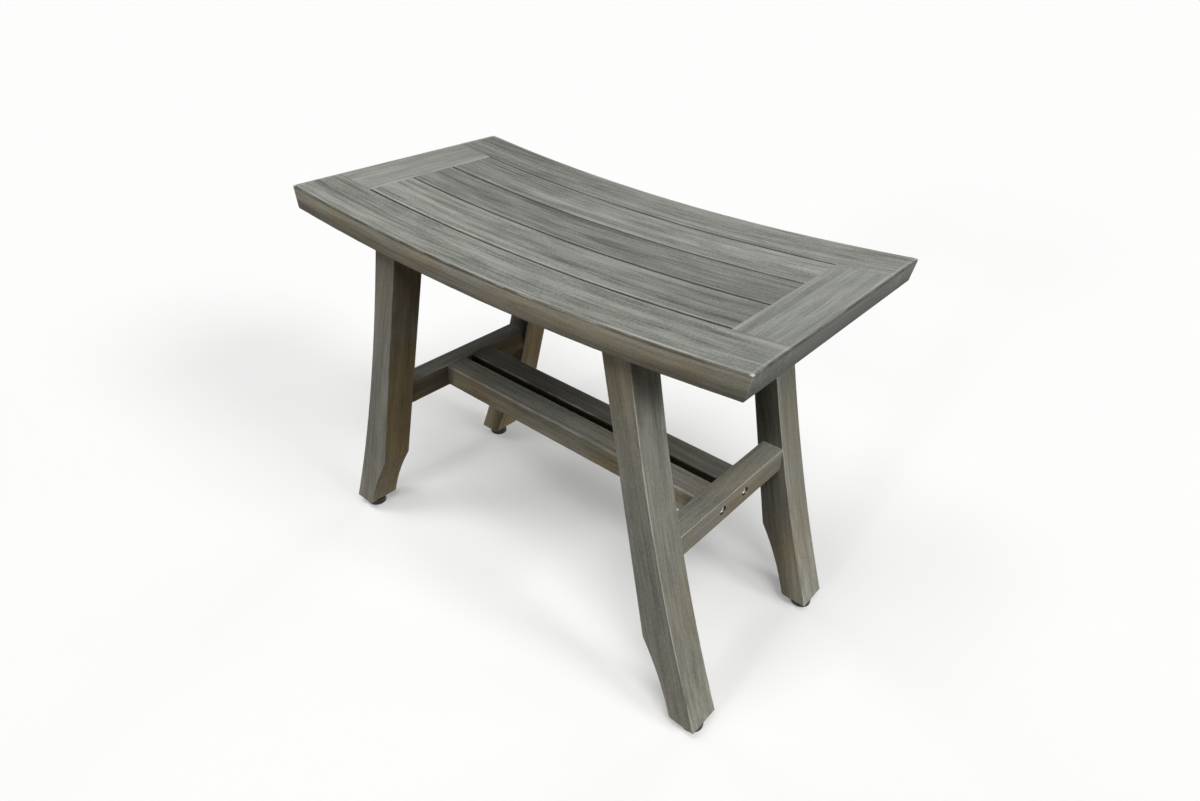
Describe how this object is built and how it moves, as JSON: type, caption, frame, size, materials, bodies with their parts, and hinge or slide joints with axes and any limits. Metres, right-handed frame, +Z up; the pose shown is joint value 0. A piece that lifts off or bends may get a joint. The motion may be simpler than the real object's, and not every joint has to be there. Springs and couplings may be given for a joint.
{
  "type": "shower bench",
  "caption": "Free-standing grey teak shower bench with a dished slatted seat, splayed curved legs, a slatted shelf between end stretchers and levelling feet.",
  "frame": {"origin": "on the floor, under the middle of the seat", "axes": "+X along the seat to its right end, +Y to its back, +Z up"},
  "size_m": [0.5946, 0.305, 0.4582],
  "materials": {
    "teak": "grey-washed teak, satin, worn lighter along the arrises",
    "dowel_wood": "plain beech dowels",
    "steel": "bright zinc-plated steel",
    "brass": "turned brass",
    "black_plastic": "matt black moulded plastic"
  },
  "bodies": {
    "bench": {"seat_front_rail": "teak", "seat_back_rail": "teak", "seat_end_rail_left": "teak", "seat_end_rail_right": "teak", "seat_slat_front": "teak", "seat_slat_middle": "teak", "seat_slat_back": "teak", "upper_cross_rail_left": "teak", "upper_cross_rail_right": "teak", "leg_front_left": "teak", "leg_front_right": "teak", "leg_back_left": "teak", "leg_back_right": "teak", "stretcher_left": "teak", "stretcher_right": "teak", "shelf_slat_front": "teak", "shelf_slat_back": "teak", "seat_dowels": "dowel_wood", "leg_dowels": "dowel_wood", "shelf_dowels": "dowel_wood", "seat_screws": "steel", "shelf_bolts": "steel", "shelf_barrel_nuts": "steel", "foot_inserts": "brass"},
    "foot_front_left": {"foot_stud_front_left": "steel", "foot_pad_front_left": "black_plastic"},
    "foot_front_right": {"foot_stud_front_right": "steel", "foot_pad_front_right": "black_plastic"},
    "foot_back_left": {"foot_stud_back_left": "steel", "foot_pad_back_left": "black_plastic"},
    "foot_back_right": {"foot_stud_back_right": "steel", "foot_pad_back_right": "black_plastic"}
  },
  "joints": [
    {"name": "foot_height_front_left", "type": "slide", "parent": "bench", "child": "foot_front_left", "axis": [0, 0, -1], "range_m": [0, 0.01]},
    {"name": "foot_height_front_right", "type": "slide", "parent": "bench", "child": "foot_front_right", "axis": [0, 0, -1], "range_m": [0, 0.01]},
    {"name": "foot_height_back_left", "type": "slide", "parent": "bench", "child": "foot_back_left", "axis": [0, 0, -1], "range_m": [0, 0.01]},
    {"name": "foot_height_back_right", "type": "slide", "parent": "bench", "child": "foot_back_right", "axis": [0, 0, -1], "range_m": [0, 0.01]}
  ]
}
